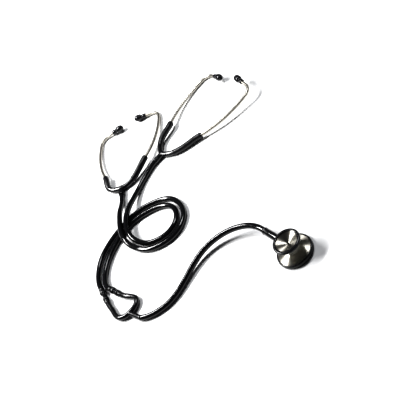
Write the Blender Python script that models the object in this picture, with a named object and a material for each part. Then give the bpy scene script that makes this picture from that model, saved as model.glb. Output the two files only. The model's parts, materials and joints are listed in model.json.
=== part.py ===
"""A teaching stethoscope, lying on a table: two headsets, two long hoses, one chestpiece.

Every length is in millimetres until a mesh is made, which turns it into metres.
X and Y lie in the table, Z is up, and the headsets lie towards +Y.
"""
import math

import bmesh
import bpy
from mathutils import Matrix, Vector

MM = 0.001
TABLE_CENTRE = Vector((-11.0, 25.4, 0.0))  # middle of the footprint, where the origin goes
UP = Vector((0, 0, 1))
GAP = 0.3                                  # clearance between pieces that touch

# Tubing
HOSE_RADIUS = 4.0
HOSE_SPACING = 16.0
HOSE_LEAD = 5.0                            # straight bit at each end, so that it meets its fitting squarely

# Headset: a moulded yoke, two arms, two bent ear tubes
YOKE_RADIUS = 4.7
ARM_RADIUS = 4.5
ARM_MOUTH_RADIUS = 4.7
NOSE_RADIUS = 4.2
PIVOT_FROM_JUNCTION = 15.0
TUBE_RADIUS = 2.5
TUBE_WALL = 0.7
TUBE_INSERT = 12.0
TUBE_BORE_RADIUS = 2.85
TUBE_MAIN_LENGTH = 86.0
TUBE_MAIN_SWEEP = 33.0
TUBE_BEND_LENGTH = 22.0
TUBE_BEND_SWEEP = 84.0
TUBE_END_LENGTH = 7.5
SPRING_SECTION = (0.6, 5.6)                # leaf spring: thickness, width
TIP_BORE_RADIUS = 2.3
TIP_HOLE_RADIUS = 1.1

# Chestpiece
CHEST_CENTRE = Vector((39.0, -199.0, 0.0))
STEM_AZIMUTH = math.radians(99.0)
STEM_HEIGHT = 13.5
STEM_RADIUS = 3.0
STEM_BORE_RADIUS = 3.3
SLEEVE_START = 24.5
SLEEVE_END = 52.0
DETENT_AT = 6.0                            # distance of the ball from the chestpiece's axis
GROOVE_DEPTH = 0.55                        # of the ball's groove in the stem bore
POCKET_RADIUS = 1.3                        # hole in the stem for the ball and its spring
BALL_RADIUS = 1.0
BALL_LIFT = 2.4                            # ball centre above the stem's axis
SPRING_WIRE_RADIUS = 0.13
COIL_RADIUS = 0.8
COIL_TURNS = 3
COIL_HEIGHT = 0.85
CLIP_RADIUS = 3.55                         # retaining clip: mean radius, place and section
CLIP_AT = 12.0
CLIP_SECTION = (1.3, 0.7)
SOUND_RADIUS = 0.8                         # sound channel along the stem, below the detent's pocket
SOUND_LIFT = -1.2
ROUND_STEPS = 36


# ---------------------------------------------------------------- materials

def finish(name, colour, roughness, metallic=0.0):
    material = bpy.data.materials.new(name)
    material.use_nodes = True
    shader = material.node_tree.nodes["Principled BSDF"]
    shader.inputs["Base Color"].default_value = (*colour, 1.0)
    shader.inputs["Roughness"].default_value = roughness
    shader.inputs["Metallic"].default_value = metallic
    material.diffuse_color = (*colour, 1.0)
    return material


def black_hose():
    return finish("black_hose", (0.012, 0.012, 0.014), 0.18)


def black_moulding():
    return finish("black_moulding", (0.016, 0.016, 0.018), 0.38)


def black_rubber():
    return finish("black_rubber", (0.014, 0.014, 0.016), 0.5)


def chromed_brass():
    return finish("chromed_brass", (0.78, 0.76, 0.72), 0.16, 1.0)


def turned_steel():
    return finish("turned_steel", (0.62, 0.61, 0.58), 0.28, 1.0)


def spring_steel():
    return finish("spring_steel", (0.42, 0.43, 0.45), 0.35, 1.0)


def diaphragm_film():
    return finish("diaphragm_film", (0.75, 0.76, 0.74), 0.35)


# ------------------------------------------------------------ making meshes

def to_object(name, bm, material, pivot=None):
    """Turn a bmesh in millimetres into a scene object, with its origin on the pivot."""
    bmesh.ops.remove_doubles(bm, verts=bm.verts, dist=0.001)
    bmesh.ops.recalc_face_normals(bm, faces=bm.faces)
    origin = Vector(pivot) if pivot is not None else TABLE_CENTRE
    bm.transform(Matrix.Scale(MM, 4) @ Matrix.Translation(-origin))
    mesh = bpy.data.meshes.new(name)
    bm.to_mesh(mesh)
    bm.free()
    mesh.shade_smooth()
    mesh.set_sharp_from_angle(angle=math.radians(40))
    mesh.materials.append(material)
    thing = bpy.data.objects.new(name, mesh)
    thing.location = (origin - TABLE_CENTRE) * MM
    bpy.context.collection.objects.link(thing)
    return thing


def combine(target, tool, operation):
    """Boolean a tool into a target, and leave the tool in the file as a guide only."""
    tool.hide_render = True
    tool.display_type = "WIRE"
    modifier = target.modifiers.new(operation.lower(), "BOOLEAN")
    modifier.operation = operation
    modifier.solver = "EXACT"
    modifier.object = tool


def axis_frame(origin, direction):
    """A matrix whose Z runs along the direction, from the origin."""
    turn = Vector(direction).to_track_quat("Z", "Y").to_matrix().to_4x4()
    return Matrix.Translation(origin) @ turn


def turned(profile, frame, steps=ROUND_STEPS):
    """Spin a closed outline of (radius, height) points about the frame's Z."""
    bm = bmesh.new()
    corners = [bm.verts.new((radius, 0, height)) for radius, height in profile]
    edges = [bm.edges.new(pair) for pair in zip(corners, corners[1:] + corners[:1])]
    bmesh.ops.spin(bm, geom=corners + edges, cent=(0, 0, 0), axis=(0, 0, 1),
                   angle=math.tau, steps=steps, use_merge=True)
    bmesh.ops.remove_doubles(bm, verts=bm.verts, dist=0.001)
    bmesh.ops.dissolve_degenerate(bm, edges=bm.edges, dist=0.0001)
    bm.transform(frame)
    return bm


def ring_frames(points, level=False):
    """A frame at each point of a path, Z along it; level frames keep one side horizontal."""
    before, after = points[:1] + points[:-1], points[1:] + points[-1:]
    tangents = [(b - a).normalized() for a, b in zip(before, after)]
    turn = tangents[0].to_track_quat("Z", "Y")
    frames = []
    for index, (point, tangent) in enumerate(zip(points, tangents)):
        if level:
            turn = tangent.to_track_quat("Z", "Y")
        elif index:
            turn = tangents[index - 1].rotation_difference(tangent) @ turn
        frames.append(Matrix.Translation(point) @ turn.to_matrix().to_4x4())
    return frames


def bridge(bm, rings):
    """Join each ring of vertices to the next with a band of faces."""
    for low, high in zip(rings, rings[1:]):
        edges = [edge for ring in (low, high) for vert in ring for edge in vert.link_edges
                 if edge.verts[0] in ring and edge.verts[1] in ring]
        bmesh.ops.bridge_loops(bm, edges=list(set(edges)))


def rod(points, radii, sides):
    """A solid bent rod: a circle at each point of its path."""
    bm = bmesh.new()
    rings = []
    for index, (frame, radius) in enumerate(zip(ring_frames(points), radii)):
        cap = index in (0, len(points) - 1)
        ring = bmesh.ops.create_circle(bm, cap_ends=cap, segments=sides, radius=radius, matrix=frame)
        rings.append(ring["verts"])
    bridge(bm, rings)
    return bm


def pipe(points, radius, wall, sides):
    """A bent tube, open at both ends: its rings run out along the outside and back inside."""
    bm = bmesh.new()
    frames = ring_frames(points)
    walk = [(frame, radius) for frame in frames] + [(frame, radius - wall) for frame in reversed(frames)]
    rings = [bmesh.ops.create_circle(bm, segments=sides, radius=size, matrix=frame)["verts"]
             for frame, size in walk]
    bridge(bm, rings + rings[:1])
    return bm


def strip(points, thickness, width):
    """A flat strip on edge along a level path."""
    bm = bmesh.new()
    rings = []
    for index, frame in enumerate(ring_frames(points, level=True)):
        cap = index in (0, len(points) - 1)
        shape = Matrix.Diagonal((thickness, width, 1, 1)) @ Matrix.Rotation(math.radians(45), 4, "Z")
        ring = bmesh.ops.create_circle(bm, cap_ends=cap, segments=4, radius=math.sqrt(0.5),
                                       matrix=frame @ shape)
        rings.append(ring["verts"])
    bridge(bm, rings)
    return bm


# -------------------------------------------------------------------- paths

def smooth_route(stops, spacing):
    """Evenly spaced points on a smooth curve (Catmull-Rom) through the stops."""
    stops = [Vector(stop) for stop in stops]
    ends = [2 * stops[0] - stops[1]] + stops + [2 * stops[-1] - stops[-2]]
    dense = []
    for before, start, end, after in zip(ends, ends[1:], ends[2:], ends[3:]):
        for step in range(24):
            t = step / 24
            dense.append(0.5 * (2 * start + (end - before) * t
                                + (2 * before - 5 * start + 4 * end - after) * t ** 2
                                + (3 * start - before - 3 * end + after) * t ** 3))
    dense.append(stops[-1])
    length = sum((b - a).length for a, b in zip(dense, dense[1:]))
    count = max(2, round(length / spacing))
    return stretch_of(dense, 0, length, count)


def stretch_of(points, start, end, count):
    """The piece of a path between two distances along it, as count equal steps."""
    marks = [start + (end - start) * step / count for step in range(count + 1)]
    result, travelled = [], 0.0
    for index, (a, b) in enumerate(zip(points, points[1:])):
        piece = (b - a).length
        last = index == len(points) - 2
        while marks and (marks[0] <= travelled + piece or last):
            result.append(a.lerp(b, (marks.pop(0) - travelled) / piece))
        travelled += piece
    return result


def path_length(points):
    return sum((b - a).length for a, b in zip(points, points[1:]))


def distance_to(points, place):
    """How far along a path its nearest point to a place is."""
    nearest = min(range(len(points)), key=lambda i: (points[i] - Vector(place)).length)
    return path_length(points[:nearest + 1])


# -------------------------------------------------------------------- hoses

# Each route is the hose's real lie: stops along its centreline, from its headset to its far end.
LEFT_HOSE = [(-78.45, 129.3, 4.8), (-84, 118, 5.0), (-89.5, 107, 7.4), (-96, 95, 11), (-103, 80, 12.8),
             (-109, 67, 13), (-113, 55, 13), (-115, 43, 12.8), (-115.3, 33, 11.4), (-113.5, 22.5, 8.4),
             (-109, 12.5, 5.3), (-102.5, 2, 4), (-92, -8.5, 4), (-77, -16.5, 4), (-61, -19.5, 4),
             (-45, -16, 4), (-31, -4, 4), (-24.5, 12, 4), (-24, 27, 4), (-28, 42, 4), (-37, 54, 4),
             (-50.5, 64, 4), (-66, 71.5, 4), (-82, 74.8, 4), (-98, 75.5, 4), (-117, 73, 4),
             (-135, 68, 4), (-152, 60, 4), (-166, 48.5, 4), (-177, 33, 4), (-183.2, 17, 4.7),
             (-185.2, 2.6, 5)]
RIGHT_HOSE = [(-6.7, 131, 4.8), (-14, 129.8, 4.6), (-26, 125.5, 4.2), (-40, 119, 4.2),
              (-54, 110.5, 5), (-67, 100.5, 7.5),
              (-78, 90, 10.8), (-87, 80.5, 12.7), (-94.5, 71.5, 13), (-100.5, 60.5, 13),
              (-104.3, 49, 13), (-105.6, 38, 12.4), (-104.6, 27.5, 10.2), (-101, 17.5, 7.2),
              (-94.8, 8.5, 4.7), (-85.5, 1, 4), (-73, -5.2, 4), (-60, -6.8, 4), (-48, -2.8, 4),
              (-39, 6, 4), (-34.4, 18, 4), (-35.5, 31, 4), (-42.5, 42.5, 4), (-54, 51.8, 4),
              (-68, 58.8, 4), (-82, 63.4, 4), (-96, 64.8, 4), (-109, 63.4, 4), (-121, 59.8, 4),
              (-134, 53.8, 4), (-147, 45.8, 4), (-159, 35.8, 4), (-168.5, 24, 4), (-174.3, 11.5, 4.2),
              (-175.9, -0.2, 4.8), (-173.5, -9.3, 5)]
SINGLE_HOSE = [(-162.6, -92.3, 4.3), (-157.2, -97.1, 4.2), (-149.6, -101.6, 4),
               (-139.5, -105.6, 4), (-122.5, -108.6, 4), (-104.5, -106.2, 4.2),
               (-85.5, -99.6, 5), (-67.5, -92.8, 6.4), (-51, -88.8, 8), (-36, -88.6, 9.7),
               (-22, -91.4, 11.3), (-9.5, -96.4, 12.9), (2.5, -103.6, 14.3), (13.5, -113, 15.3),
               (21.5, -122.4, 15.6), (26.5, -131, 15), (29.2, -138, 14.1), (30.78, -147.06, 13.5)]


def make_hose(name, stops, material):
    line = smooth_route(stops, 2.0)
    length = path_length(line)
    count = round((length - 2 * HOSE_LEAD) / HOSE_SPACING)
    points = [line[0]] + stretch_of(line, HOSE_LEAD, length - HOSE_LEAD, count) + [line[-1]]
    curve = bpy.data.curves.new(name, "CURVE")
    curve.dimensions = "3D"
    curve.bevel_depth = HOSE_RADIUS * MM
    curve.bevel_resolution = 3
    curve.use_fill_caps = True
    spline = curve.splines.new("POLY")
    spline.points.add(len(points) - 1)
    for knot, point in zip(spline.points, points):
        knot.co = (*((point - TABLE_CENTRE) * MM), 1)
    curve.materials.append(material)
    bpy.context.collection.objects.link(bpy.data.objects.new(name, curve))


# ----------------------------------------------------------------- headsets

# Each arm pair is one bent line, from the far ear tube's mouth through the junction to the near one.
HEADSETS = {
    "right": {
        "line": [(52, 170, 8), (43, 164.5, 8.8), (32.5, 161, 8.2), (22, 156.5, 6.8), (13, 147.5, 5.3),
                 (8, 132.5, 4.8), (19, 117, 5), (32, 108.5, 5.4), (45.5, 103.6, 5.8),
                 (58, 100, 6.4), (69, 95, 7)],
        "junction": (8, 132.5, 4.8),
        "trunk": [(8, 132.5, 4.8), (1, 132.3, 4.8), (-6.2, 131.1, 4.8)],
        "far": {"azimuth": 36, "pitch": -6, "twist": 9},
        "near": {"azimuth": -27, "pitch": 3.5, "twist": 5},
    },
    "left": {
        "line": [(-80, 186, 9), (-81.2, 179, 9.5), (-84.3, 171, 8.8), (-86.5, 161.5, 7),
                 (-82.5, 152, 5.3), (-72, 143, 4.8), (-58.5, 137.5, 5.2), (-47, 137.8, 6.6),
                 (-35, 140.6, 8.6), (-22.4, 145.2, 10.4), (-12, 151, 10)],
        "junction": (-72, 143, 4.8),
        "trunk": [(-72, 143, 4.8), (-75, 136.5, 4.8), (-78.2, 129.8, 4.8)],
        "far": {"azimuth": 87, "pitch": -5.5, "twist": 5},
        "near": {"azimuth": 30, "pitch": -5.5, "twist": 3},
    },
}


def heading(azimuth, pitch):
    flat = math.cos(math.radians(pitch))
    return Vector((flat * math.cos(math.radians(azimuth)), flat * math.sin(math.radians(azimuth)),
                   math.sin(math.radians(pitch))))


def ear_tube_path(mouth, lie, inward):
    """The bent line of an ear tube, and the place and direction of its end."""
    ahead = heading(lie["azimuth"], lie["pitch"])
    aside = UP.cross(ahead).normalized()
    twist = math.radians(lie["twist"])
    inner = aside * inward * math.cos(twist) + ahead.cross(aside) * math.sin(twist)
    points = [mouth - ahead * TUBE_INSERT, mouth.copy()]
    angle = 0.0
    for length, sweep, steps in ((TUBE_MAIN_LENGTH, TUBE_MAIN_SWEEP, 6),
                                 (TUBE_BEND_LENGTH, TUBE_BEND_SWEEP, 6)):
        turn = math.radians(sweep) / steps
        chord = 2 * (length / steps / turn) * math.sin(turn / 2)
        for _ in range(steps):
            angle += turn / 2
            points.append(points[-1] + chord * (ahead * math.cos(angle) + inner * math.sin(angle)))
            angle += turn / 2
    outward = ahead * math.cos(angle) + inner * math.sin(angle)
    points.append(points[-1] + outward * TUBE_END_LENGTH)
    return points, ahead, outward


def ear_tip_profile():
    """Outline of a soft ear tip: bore, collar, waist and mushroom, from its mouth outwards."""
    outer = [(3.3, 2.1), (3.9, 2.7), (4.0, 6.0), (3.5, 8.8), (4.2, 10.6), (5.2, 12.8), (5.45, 16.2),
             (5.1, 19.2), (4.0, 21.4), (2.4, 22.3)]
    inner = [(TIP_HOLE_RADIUS, 22.0), (TIP_HOLE_RADIUS, 11.5), (TIP_BORE_RADIUS, 11.5),
             (TIP_BORE_RADIUS, 2.1)]
    return outer + inner


def nozzle_profile():
    """Outline of the screwed nozzle: a flange on the tube's end and a bored spigot in the tip."""
    flange = TUBE_RADIUS
    return [(0.9, GAP), (flange, GAP), (flange, 1.8), (1.95, 1.8), (1.95, 10.5), (0.9, 10.5)]


def make_ear_side(headset, side, mouth, lie, inward, materials):
    """One ear tube with its nozzle and tip; returns the direction that the tube leaves its arm in."""
    points, ahead, outward = ear_tube_path(mouth, lie, inward)
    label = f"{headset}_headset_{side}"
    to_object(f"{label}_ear_tube", pipe(points, TUBE_RADIUS, TUBE_WALL, 10),
              materials["chrome"], pivot=mouth)
    end = axis_frame(points[-1], outward)
    to_object(f"{label}_nozzle", turned(nozzle_profile(), end, 12), materials["chrome"], pivot=mouth)
    to_object(f"{label}_ear_tip", turned(ear_tip_profile(), end, 14), materials["rubber"],
              pivot=points[-1])
    return ahead


def make_arm(name, path, ahead, material):
    """A moulded arm: a round nose on its pivot, a thicker mouth, and a bore for the ear tube."""
    start = (path[1] - path[0]).normalized()
    nose = [(-0.98, 0.2), (-0.82, 0.57), (-0.5, 0.87)]
    points = [path[0] + start * NOSE_RADIUS * back for back, _ in nose]
    radii = [NOSE_RADIUS * width for _, width in nose]
    body = stretch_of(path, 0, path_length(path) - 1.2, 8)
    points += body
    radii += [NOSE_RADIUS] + [ARM_RADIUS] * 4 + [ARM_MOUTH_RADIUS] * (len(body) - 5)
    points.append(path[-1])
    radii.append(ARM_MOUTH_RADIUS - 0.9)
    arm = to_object(name, rod(points, radii, 12), material, pivot=path[0])
    bore = turned([(0, -TUBE_INSERT - 1.5), (TUBE_BORE_RADIUS, -TUBE_INSERT - 1.5),
                   (TUBE_BORE_RADIUS, 2), (0, 2)], axis_frame(path[-1], ahead), 16)
    combine(arm, to_object(name + "_bore_guide", bore, material), "DIFFERENCE")


def make_headset(name, plan, materials):
    line = smooth_route(plan["line"], 1.0)
    middle = distance_to(line, plan["junction"])
    far_pivot = middle - PIVOT_FROM_JUNCTION
    near_pivot = middle + PIVOT_FROM_JUNCTION
    whole = path_length(line)
    far_arm = list(reversed(stretch_of(line, 0, far_pivot, 30)))
    near_arm = stretch_of(line, near_pivot, whole, 30)

    face = NOSE_RADIUS + GAP
    saddle = stretch_of(line, far_pivot + face, near_pivot - face, 10)
    yoke = to_object(f"{name}_headset_yoke", rod(saddle, [YOKE_RADIUS] * 11, 12),
                     materials["moulding"])
    trunk = smooth_route(plan["trunk"], 4.0)
    stub = to_object(f"{name}_trunk_guide", rod(trunk, [YOKE_RADIUS] * len(trunk), 12),
                     materials["moulding"])
    combine(yoke, stub, "UNION")
    thickness, width = SPRING_SECTION
    slot = strip(stretch_of(line, far_pivot, near_pivot, 10), thickness + 2 * GAP, width + 2 * GAP)
    combine(yoke, to_object(f"{name}_slot_guide", slot, materials["moulding"]), "DIFFERENCE")
    leaf = stretch_of(line, far_pivot + face + 0.5, near_pivot - face - 0.5, 10)
    to_object(f"{name}_headset_leaf_spring", strip(leaf, thickness, width), materials["spring"])

    for side, arm, inward in (("far", far_arm, -1), ("near", near_arm, 1)):
        ahead = make_ear_side(name, side, arm[-1], plan[side], inward, materials)
        make_arm(f"{name}_headset_{side}_arm", arm, ahead, materials["moulding"])


# ---------------------------------------------- lower yoke and its connectors

# A connector runs from a hose's end to the mouth of an arm of the lower yoke.
RIGHT_CONNECTOR = (RIGHT_HOSE[-1], (-168.1, -26.8, 5))
LEFT_CONNECTOR = (LEFT_HOSE[-1], (-187.6, -20.4, 5))
LOWER_YOKE_LINE = [RIGHT_CONNECTOR[1], (-163.6, -38, 4.8), (-156.5, -49, 4.5), (-153, -58, 4.5),
                   (-156.6, -65.4, 4.5), (-164, -69.4, 4.6), (-172, -70.2, 4.7), (-180, -68.2, 4.6),
                   (-186.4, -62.4, 4.5), (-188.8, -53.5, 4.5), (-188.4, -42, 4.5), (-188.6, -31, 4.8),
                   LEFT_CONNECTOR[1]]
LOWER_YOKE_TRUNK = [(-172, -70.2, 4.7), (-171.6, -79, 4.6), (-168.2, -87.2, 4.5), (-163, -91.9, 4.3)]
LOWER_ARM_RADIUS = 3.9
LOWER_ARM_LIP_RADIUS = 4.6
CONNECTOR_GAP = 0.5


def lower_arm_radii(count):
    """Radii along the wishbone: a lip at each end, slim arms, a stout middle."""
    middle = count // 2
    radii = [LOWER_ARM_RADIUS] * count
    for index in (0, 1, count - 2, count - 1):
        radii[index] = LOWER_ARM_LIP_RADIUS
    for index in range(middle - 2, middle + 3):
        radii[index] = YOKE_RADIUS - 0.3
    return radii


def make_lower_yoke(materials):
    line = smooth_route(LOWER_YOKE_LINE, 1.0)
    whole = path_length(line)
    ends = [0, 2.5]
    points = [stretch_of(line, a, a + 1, 1)[0] for a in ends]
    points += stretch_of(line, 4.5, whole - 4.5, 24)
    points += [stretch_of(line, whole - a - 1, whole - a, 1)[1] for a in reversed(ends)]
    yoke = to_object("lower_yoke", rod(points, lower_arm_radii(len(points)), 12),
                     materials["moulding"])
    trunk = smooth_route(LOWER_YOKE_TRUNK, 4.0)
    radii = [YOKE_RADIUS - 0.3] * (len(trunk) - 1) + [4.3]
    combine(yoke, to_object("lower_trunk_guide", rod(trunk, radii, 12), materials["moulding"]),
            "UNION")
    for connector in (RIGHT_CONNECTOR, LEFT_CONNECTOR):
        hose_end, mouth = (Vector(place) for place in connector)
        socket = turned([(0, -2), (2.7, -2), (2.7, 9), (0, 9)], axis_frame(mouth, mouth - hose_end), 12)
        combine(yoke, to_object("socket_guide", socket, materials["moulding"]), "DIFFERENCE")


def connector_profile(length):
    """Outline of an in-line connector: a ball grip, a neck for the lock ring, and a spigot."""
    shoulder = length - 0.5
    return [(0, CONNECTOR_GAP), (3.6, CONNECTOR_GAP), (4.3, 1.3), (4.8, 2.8), (5.0, 5.0), (4.8, 7.0),
            (4.1, 8.4), (3.0, 9.0), (3.0, shoulder), (2.35, shoulder), (2.35, length + 7.5),
            (0, length + 7.5)]


def make_connector(name, ends, materials):
    """A connector between a hose's end and an arm of the lower yoke, with its lock ring."""
    hose_end, mouth = (Vector(place) for place in ends)
    length = (mouth - hose_end).length
    frame = axis_frame(hose_end, mouth - hose_end)
    to_object(f"{name}_connector", turned(connector_profile(length), frame, 20), materials["moulding"])
    ring = [(3.3, length - 5.6), (4.1, length - 5.6), (4.5, length - 4.6), (4.5, length - 2.6),
            (4.1, length - 1.6), (3.3, length - 1.6)]
    to_object(f"{name}_lock_ring", turned(ring, frame, 20), materials["rubber"])


# --------------------------------------------------------------- chestpiece

def chest_frame():
    return Matrix.Translation(CHEST_CENTRE)


def stem_frame():
    """Z runs outwards along the stem, from the chestpiece's axis; X stays level."""
    outward = Vector((math.cos(STEM_AZIMUTH), math.sin(STEM_AZIMUTH), 0))
    return axis_frame(CHEST_CENTRE + UP * STEM_HEIGHT, outward)


def stem_point(distance, lift=0.0):
    return stem_frame() @ Vector((0, 0, distance)) + UP * lift


def make_body(materials):
    """Steel body: a shallow housing for the diaphragm, a neck, and a boss bored for the stem."""
    pivot = stem_point(0)
    outline = [(0, 5.0), (20.4, 3.8), (20.4, 3.2), (22.3, 3.2), (22.3, 5.6), (21.7, 6.0),
               (16.0, 7.9), (11.0, 9.4), (9.7, 10.0), (9.7, 11.4), (8.8, 11.8), (8.8, 19.7),
               (8.5, 20.0), (0, 20.0)]
    body = to_object("chestpiece_body", turned(outline, chest_frame()), materials["steel"], pivot=pivot)
    boss = turned([(0, 3), (5.6, 3), (5.6, 12.6), (5.2, 13.0), (0, 13.0)], stem_frame(), 28)
    combine(body, to_object("boss_guide", boss, materials["steel"]), "UNION")
    groove = STEM_BORE_RADIUS + GROOVE_DEPTH
    bore = turned([(0, -5.4), (STEM_BORE_RADIUS, -5.4), (STEM_BORE_RADIUS, DETENT_AT - POCKET_RADIUS),
                   (groove, DETENT_AT - POCKET_RADIUS), (groove, DETENT_AT + POCKET_RADIUS),
                   (STEM_BORE_RADIUS, DETENT_AT + POCKET_RADIUS), (STEM_BORE_RADIUS, 11.0), (4.6, 11.0),
                   (4.6, 14.0), (0, 14.0)], stem_frame(), 28)
    combine(body, to_object("stem_bore_guide", bore, materials["steel"]), "DIFFERENCE")
    seat = turned([(0, 17.9), (4.8, 17.9), (4.8, 21), (0, 21)], chest_frame(), 24)
    combine(body, to_object("bell_seat_guide", seat, materials["steel"]), "DIFFERENCE")
    channel = turned([(0, 3), (1.2, 3), (1.2, 18.5), (0, 18.5)], chest_frame(), 12)
    combine(body, to_object("sound_channel_guide", channel, materials["steel"]), "DIFFERENCE")


def make_bell(materials):
    pivot = stem_point(0)
    cup = [(1.2, 18.2), (4.5, 18.2), (4.5, 20.3), (7.8, 20.3), (8.6, 20.9), (12.2, 22.3),
           (15.7, 23.4), (16.6, 24.3), (16.6, 26.0), (15.4, 26.4), (14.9, 26.1), (1.2, 20.7)]
    to_object("bell_cup", turned(cup, chest_frame()), materials["steel"], pivot=pivot)
    ring = [(16.95, 23.4), (17.9, 23.4), (18.5, 24.3), (18.5, 26.0), (17.9, 27.1), (16.8, 27.5),
            (15.7, 27.3), (15.3, 26.8), (16.95, 26.4)]
    to_object("bell_ring", turned(ring, chest_frame()), materials["rubber"], pivot=pivot)


def make_diaphragm(materials):
    pivot = stem_point(0)
    rim = [(20.9, 0.3), (21.2, 0.0), (23.6, 0.0), (24.3, 0.7), (24.5, 1.8), (24.5, 4.8),
           (24.2, 5.8), (23.4, 6.3), (22.6, 6.3), (22.6, 1.2), (20.9, 1.2)]
    to_object("diaphragm_rim", turned(rim, chest_frame()), materials["rubber"], pivot=pivot)
    disc = [(0, 1.5), (22.2, 1.5), (22.2, 1.9), (0, 1.9)]
    to_object("diaphragm", turned(disc, chest_frame()), materials["film"], pivot=pivot)
    gasket = [(20.6, 2.2), (22.1, 2.2), (22.1, 2.9), (20.6, 2.9)]
    to_object("diaphragm_gasket", turned(gasket, chest_frame()), materials["rubber"], pivot=pivot)


def make_stem(materials):
    """Steel stem with a clip groove, a collar and a barb, its rubber sleeve, clip and detent."""
    r = STEM_RADIUS
    outline = [(0, -4.8), (r - 0.4, -4.8), (r, -4.4), (r, 11.4), (2.5, 11.4), (2.5, 12.6), (r, 12.6),
               (r, 22.0), (4.4, 22.4), (4.4, 24.2), (2.6, 24.2), (2.6, 33), (3.1, 33.2), (2.5, 37),
               (2.5, 38), (3.1, 38.2), (2.6, 44), (0, 44)]
    stem = to_object("stem", turned(outline, stem_frame(), 24), materials["steel"])
    channel = turned([(0, 0), (SOUND_RADIUS, 0), (SOUND_RADIUS, 46), (0, 46)],
                     axis_frame(stem_point(0, SOUND_LIFT), stem_point(1) - stem_point(0)), 10)
    combine(stem, to_object("stem_channel_guide", channel, materials["steel"]), "DIFFERENCE")
    port = turned([(0, 0), (SOUND_RADIUS, 0), (SOUND_RADIUS, 6), (0, 6)],
                  axis_frame(stem_point(0, SOUND_LIFT), UP), 10)
    combine(stem, to_object("stem_port_guide", port, materials["steel"]), "DIFFERENCE")
    pocket_floor = stem_point(DETENT_AT)
    pocket = turned([(0, 0), (POCKET_RADIUS, 0), (POCKET_RADIUS, 6), (0, 6)],
                    axis_frame(pocket_floor, UP), 16)
    combine(stem, to_object("pocket_guide", pocket, materials["steel"]), "DIFFERENCE")

    sleeve = [(4.9, SLEEVE_END), (5.1, SLEEVE_END - 0.6), (5.1, SLEEVE_END - 1.8),
              (4.7, SLEEVE_END - 2.4), (4.8, 40), (5.0, 27), (4.9, SLEEVE_START + 0.4),
              (4.6, SLEEVE_START), (3.5, SLEEVE_START), (3.5, 45), (2.2, 45), (2.2, SLEEVE_END)]
    to_object("stem_sleeve", turned(sleeve, stem_frame(), 24), materials["rubber"])

    frame = stem_frame()
    arc = [math.radians(120 + 300 * step / 18) for step in range(19)]
    ring = [frame @ Vector((CLIP_RADIUS * math.cos(a), CLIP_RADIUS * math.sin(a), CLIP_AT)) for a in arc]
    axial = frame.to_3x3() @ UP
    to_object("retaining_clip", flat_ring(ring, axial, *CLIP_SECTION), materials["spring"])

    ball_centre = stem_point(DETENT_AT, BALL_LIFT)
    ball = bmesh.new()
    bmesh.ops.create_uvsphere(ball, u_segments=14, v_segments=8, radius=BALL_RADIUS,
                              matrix=Matrix.Translation(ball_centre))
    to_object("detent_ball", ball, materials["spring"], pivot=ball_centre)
    floor = stem_point(DETENT_AT, GAP + SPRING_WIRE_RADIUS)
    around = 8
    steps = COIL_TURNS * around
    coil = []
    for step in range(steps + 1):
        angle = math.tau * step / around
        coil.append(floor + Vector((COIL_RADIUS * math.cos(angle), COIL_RADIUS * math.sin(angle),
                                    COIL_HEIGHT * step / steps)))
    to_object("detent_spring", rod(coil, [SPRING_WIRE_RADIUS] * len(coil), 5), materials["spring"])


def flat_ring(points, axial, across, along):
    """A strip of rectangular section around an open ring."""
    bm = bmesh.new()
    centre = sum(points, Vector()) / len(points)
    rings = []
    for point in points:
        outward = (point - centre - axial * (point - centre).dot(axial)).normalized()
        corners = []
        for side, end in ((-1, -1), (1, -1), (1, 1), (-1, 1)):
            corners.append(bm.verts.new(point + outward * side * across / 2 + axial * end * along / 2))
        rings.append(bm.faces.new(corners))
    for low, high in zip(rings, rings[1:]):
        bmesh.ops.bridge_loops(bm, edges=list(low.edges) + list(high.edges))
    bmesh.ops.delete(bm, geom=rings[1:-1], context="FACES_ONLY")
    return bm


# -------------------------------------------------------------------- build

for old in list(bpy.data.objects):
    bpy.data.objects.remove(old, do_unlink=True)

MATERIALS = {"hose": black_hose(), "moulding": black_moulding(), "rubber": black_rubber(),
             "chrome": chromed_brass(), "steel": turned_steel(), "spring": spring_steel(),
             "film": diaphragm_film()}

make_hose("left_hose", LEFT_HOSE, MATERIALS["hose"])
make_hose("right_hose", RIGHT_HOSE, MATERIALS["hose"])
make_hose("single_hose", SINGLE_HOSE, MATERIALS["hose"])
for headset_name, headset_plan in HEADSETS.items():
    make_headset(headset_name, headset_plan, MATERIALS)
make_lower_yoke(MATERIALS)
make_connector("right_hose", RIGHT_CONNECTOR, MATERIALS)
make_connector("left_hose", LEFT_CONNECTOR, MATERIALS)
make_body(MATERIALS)
make_bell(MATERIALS)
make_diaphragm(MATERIALS)
make_stem(MATERIALS)
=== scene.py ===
import json
import math

import bmesh
import bpy
from mathutils import Matrix, Vector


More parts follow.
